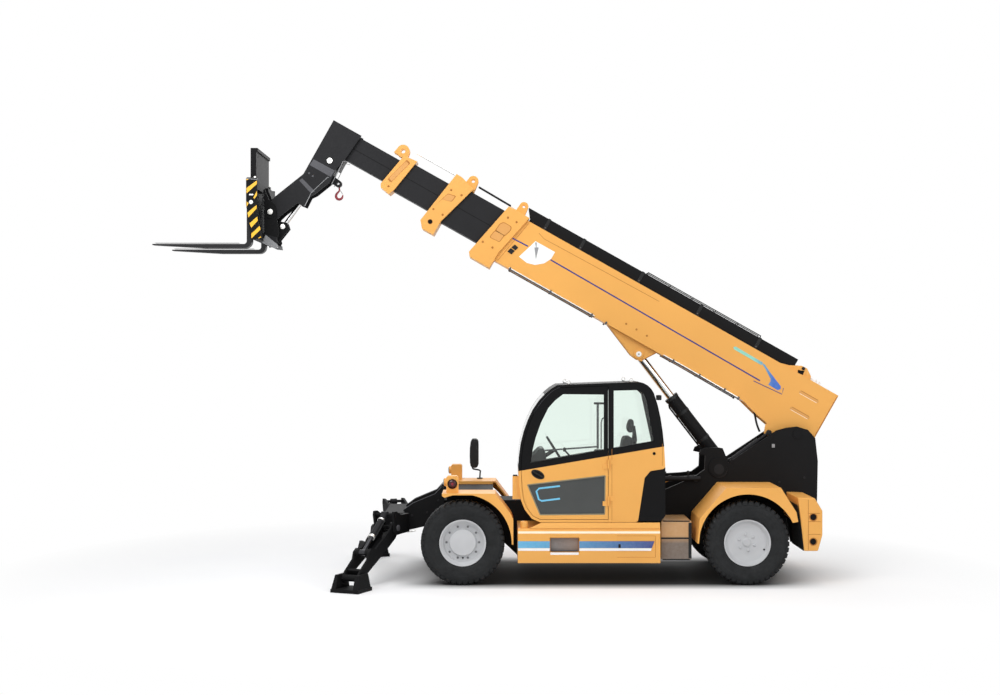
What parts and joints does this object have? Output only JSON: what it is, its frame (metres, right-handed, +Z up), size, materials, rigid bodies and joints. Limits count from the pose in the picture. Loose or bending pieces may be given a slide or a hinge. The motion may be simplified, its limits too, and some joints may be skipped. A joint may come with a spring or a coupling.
{
  "type": "telehandler",
  "caption": "Rough-terrain telehandler: four-section boom with gooseneck, fork carriage and hook, left-hand cab, steered axles and folding front stabilisers.",
  "frame": {"origin": "bottom centre of the whole machine's box as stored, on the ground", "axes": "+X forwards, towards the fork tips; +Y to the machine's left, the cab side; +Z up"},
  "size_m": [9.0498, 3.8048, 6.0653],
  "materials": {
    "orange_paint": "satin orange-yellow machine paint",
    "hood_shell": "moulded engine cover in body colour",
    "black_paint": "semi-matt charcoal paint",
    "cab_trim": "black cab frame and mouldings",
    "engine_metal": "cast engine",
    "glass": "light green safety glass",
    "seat_fabric": "black woven seat cover",
    "fork_steel": "black painted forged steel",
    "hook_paint": "red paint",
    "chrome_rod": "hard chrome",
    "tyre_rubber": "black rubber",
    "rim_paint": "light grey rim paint"
  },
  "bodies": {
    "root": {"chassis_frame": "black_paint", "boom_tower": "black_paint", "counterweight": "orange_paint", "engine_hood": "hood_shell", "engine_block": "engine_metal", "side_boxes": "orange_paint", "tanks": "orange_paint", "axles": "black_paint", "front_fenders": "orange_paint", "rear_fenders": "orange_paint", "stabiliser_frame": "black_paint", "head_lamps": "orange_paint", "mirror": "cab_trim", "cab_locker": "cab_trim", "cab_body": "orange_paint", "cab_frame": "cab_trim", "cab_glass": "glass", "seat_frame": "black_paint", "seat_pads": "seat_fabric", "steering_console": "cab_trim"},
    "door": {"door_panel": "orange_paint", "door_frame": "cab_trim", "door_glass": "glass"},
    "knuckle_front_left": {"knuckle_front_left": "black_paint"},
    "wheel_front_left": {"tyre_front_left": "tyre_rubber", "rim_front_left": "rim_paint"},
    "knuckle_front_right": {"knuckle_front_right": "black_paint"},
    "wheel_front_right": {"tyre_front_right": "tyre_rubber", "rim_front_right": "rim_paint"},
    "knuckle_rear_left": {"knuckle_rear_left": "black_paint"},
    "wheel_rear_left": {"tyre_rear_left": "tyre_rubber", "rim_rear_left": "rim_paint"},
    "knuckle_rear_right": {"knuckle_rear_right": "black_paint"},
    "wheel_rear_right": {"tyre_rear_right": "tyre_rubber", "rim_rear_right": "rim_paint"},
    "boom": {"boom_main": "orange_paint", "collar_1": "orange_paint", "hose_tray": "black_paint"},
    "section_2": {"section_2": "black_paint", "collar_2": "orange_paint"},
    "section_3": {"section_3": "black_paint", "collar_3": "orange_paint"},
    "head": {"boom_head": "black_paint"},
    "hook": {"hook": "hook_paint"},
    "carriage": {"carriage": "black_paint", "forks": "fork_steel"},
    "lift_barrel": {"lift_barrel": "black_paint"},
    "lift_rod": {"lift_rod": "chrome_rod"},
    "strut_barrel": {"strut_barrel": "black_paint"},
    "strut_rod": {"strut_rod": "black_paint"},
    "tilt_barrel": {"tilt_barrel": "black_paint"},
    "tilt_rod": {"tilt_rod": "chrome_rod"},
    "leg_left": {"leg_left": "black_paint"},
    "foot_left": {"foot_left": "black_paint"},
    "leg_barrel_left": {"leg_barrel_left": "black_paint"},
    "leg_rod_left": {"leg_rod_left": "chrome_rod"},
    "leg_right": {"leg_right": "black_paint"},
    "foot_right": {"foot_right": "black_paint"},
    "leg_barrel_right": {"leg_barrel_right": "black_paint"},
    "leg_rod_right": {"leg_rod_right": "chrome_rod"}
  },
  "joints": [
    {"name": "steer_front_left", "type": "hinge", "parent": "root", "child": "knuckle_front_left", "pos_m": [0.46886, 0.85, 0.536], "axis": [0, 0, 1], "range_deg": [-35, 35]},
    {"name": "roll_front_left", "type": "hinge", "parent": "knuckle_front_left", "child": "wheel_front_left", "pos_m": [0.46886, 1, 0.536], "axis": [0, 1, 0], "continuous": true},
    {"name": "steer_front_right", "type": "hinge", "parent": "root", "child": "knuckle_front_right", "pos_m": [0.46886, -0.85, 0.536], "axis": [0, 0, 1], "range_deg": [-35, 35]},
    {"name": "roll_front_right", "type": "hinge", "parent": "knuckle_front_right", "child": "wheel_front_right", "pos_m": [0.46886, -1, 0.536], "axis": [0, 1, 0], "continuous": true},
    {"name": "steer_rear_left", "type": "hinge", "parent": "root", "child": "knuckle_rear_left", "pos_m": [-3.16114, 0.85, 0.536], "axis": [0, 0, 1], "range_deg": [-35, 35]},
    {"name": "roll_rear_left", "type": "hinge", "parent": "knuckle_rear_left", "child": "wheel_rear_left", "pos_m": [-3.16114, 1, 0.536], "axis": [0, 1, 0], "continuous": true},
    {"name": "steer_rear_right", "type": "hinge", "parent": "root", "child": "knuckle_rear_right", "pos_m": [-3.16114, -0.85, 0.536], "axis": [0, 0, 1], "range_deg": [-35, 35]},
    {"name": "roll_rear_right", "type": "hinge", "parent": "knuckle_rear_right", "child": "wheel_rear_right", "pos_m": [-3.16114, -1, 0.536], "axis": [0, 1, 0], "continuous": true},
    {"name": "door_hinge", "type": "hinge", "parent": "root", "child": "door", "pos_m": [-1.39014, 1.166, 1.2], "axis": [0, 0, 1], "range_deg": [0, 85]},
    {"name": "boom_lift", "type": "hinge", "parent": "root", "child": "boom", "pos_m": [-3.95214, 0, 1.876], "axis": [0, -1, 0], "range_deg": [-33.4, 38.6]},
    {"name": "boom_extend", "type": "slide", "parent": "boom", "child": "section_2", "axis": [0.8712, 0, 0.4909], "range_m": [-0.4, 3.2]},
    {"name": "extend_3", "type": "slide", "parent": "section_2", "child": "section_3", "axis": [0.8712, 0, 0.4909], "range_m": [-0.4, 3.2]},
    {"name": "extend_4", "type": "slide", "parent": "section_3", "child": "head", "axis": [0.8712, 0, 0.4909], "range_m": [-0.4, 3.2]},
    {"name": "hook_swing", "type": "hinge", "parent": "head", "child": "hook", "pos_m": [2.16407, 0, 5.22589], "axis": [0, 1, 0], "range_deg": [-45, 45]},
    {"name": "carriage_tilt", "type": "hinge", "parent": "head", "child": "carriage", "pos_m": [3.05586, 0, 4.835], "axis": [0, 1, 0], "range_deg": [-44, 52]},
    {"name": "lift_barrel_turn", "type": "hinge", "parent": "root", "child": "lift_barrel", "pos_m": [-3.28914, 0, 1.087], "axis": [0, -1, 0], "range_deg": [-31.73, 36.35]},
    {"name": "lift_rod_stroke", "type": "slide", "parent": "lift_barrel", "child": "lift_rod", "axis": [0.61, 0, 0.7924], "range_m": [-0.58448, 0.67392]},
    {"name": "strut_barrel_turn", "type": "hinge", "parent": "root", "child": "strut_barrel", "pos_m": [-3.07514, 0.2375, 1.519], "axis": [0, -1, 0], "range_deg": [-16.34, 14.41]},
    {"name": "strut_rod_stroke", "type": "slide", "parent": "strut_barrel", "child": "strut_rod", "axis": [-0.8069, 0, 0.5907], "range_m": [-0.13642, 0.1561]},
    {"name": "tilt_barrel_turn", "type": "hinge", "parent": "head", "child": "tilt_barrel", "pos_m": [2.27186, 0, 5.523], "axis": [0, 1, 0], "range_deg": [-2.93, 3.1]},
    {"name": "tilt_rod_stroke", "type": "slide", "parent": "tilt_barrel", "child": "tilt_rod", "axis": [0.5896, 0, -0.8077], "range_m": [-0.19988, 0.17067]},
    {"name": "leg_left_fold", "type": "hinge", "parent": "root", "child": "leg_left", "pos_m": [1.45386, 0.79, 0.695], "axis": [0.9135, -0.4067, 0], "range_deg": [0, 70]},
    {"name": "foot_left_tilt", "type": "hinge", "parent": "leg_left", "child": "foot_left", "pos_m": [1.84026, 1.65787, 0.165], "axis": [0.9135, -0.4067, 0], "range_deg": [-15, 15]},
    {"name": "leg_barrel_left_turn", "type": "hinge", "parent": "root", "child": "leg_barrel_left", "pos_m": [1.48233, 0.85395, 0.87], "axis": [0.9135, -0.4067, 0], "range_deg": [-2, 80.36]},
    {"name": "leg_rod_left_stroke", "type": "slide", "parent": "leg_barrel_left", "child": "leg_rod_left", "axis": [0.3281, 0.7369, -0.5911], "range_m": [-0.20688, 0.01]},
    {"name": "leg_right_fold", "type": "hinge", "parent": "root", "child": "leg_right", "pos_m": [1.45386, -0.79, 0.695], "axis": [-0.9135, -0.4067, 0], "range_deg": [0, 70]},
    {"name": "foot_right_tilt", "type": "hinge", "parent": "leg_right", "child": "foot_right", "pos_m": [1.84026, -1.65787, 0.165], "axis": [-0.9135, -0.4067, 0], "range_deg": [-15, 15]},
    {"name": "leg_barrel_right_turn", "type": "hinge", "parent": "root", "child": "leg_barrel_right", "pos_m": [1.48233, -0.85395, 0.87], "axis": [-0.9135, -0.4067, 0], "range_deg": [-2, 80.36]},
    {"name": "leg_rod_right_stroke", "type": "slide", "parent": "leg_barrel_right", "child": "leg_rod_right", "axis": [0.3281, -0.7369, -0.5911], "range_m": [-0.20688, 0.01]}
  ],
  "couplings": [
    {"joint": "steer_front_right", "follows": "steer_front_left", "ratio": 1},
    {"joint": "steer_rear_right", "follows": "steer_rear_left", "ratio": 1},
    {"joint": "extend_3", "follows": "boom_extend", "ratio": 1},
    {"joint": "extend_4", "follows": "boom_extend", "ratio": 1},
    {"joint": "lift_barrel_turn", "follows": "boom_lift", "ratio": 0.89},
    {"joint": "lift_rod_stroke", "follows": "boom_lift", "m_per_rad": 0.98549},
    {"joint": "strut_barrel_turn", "follows": "boom_lift", "ratio": -0.37158},
    {"joint": "strut_rod_stroke", "follows": "boom_lift", "m_per_rad": 0.21686},
    {"joint": "tilt_barrel_turn", "follows": "carriage_tilt", "ratio": 0.021098},
    {"joint": "tilt_rod_stroke", "follows": "carriage_tilt", "m_per_rad": -0.20921},
    {"joint": "leg_barrel_left_turn", "follows": "leg_left_fold", "ratio": 1.1195},
    {"joint": "leg_rod_left_stroke", "follows": "leg_left_fold", "m_per_rad": -0.16115},
    {"joint": "leg_barrel_right_turn", "follows": "leg_right_fold", "ratio": 1.1195},
    {"joint": "leg_rod_right_stroke", "follows": "leg_right_fold", "m_per_rad": -0.16115}
  ]
}
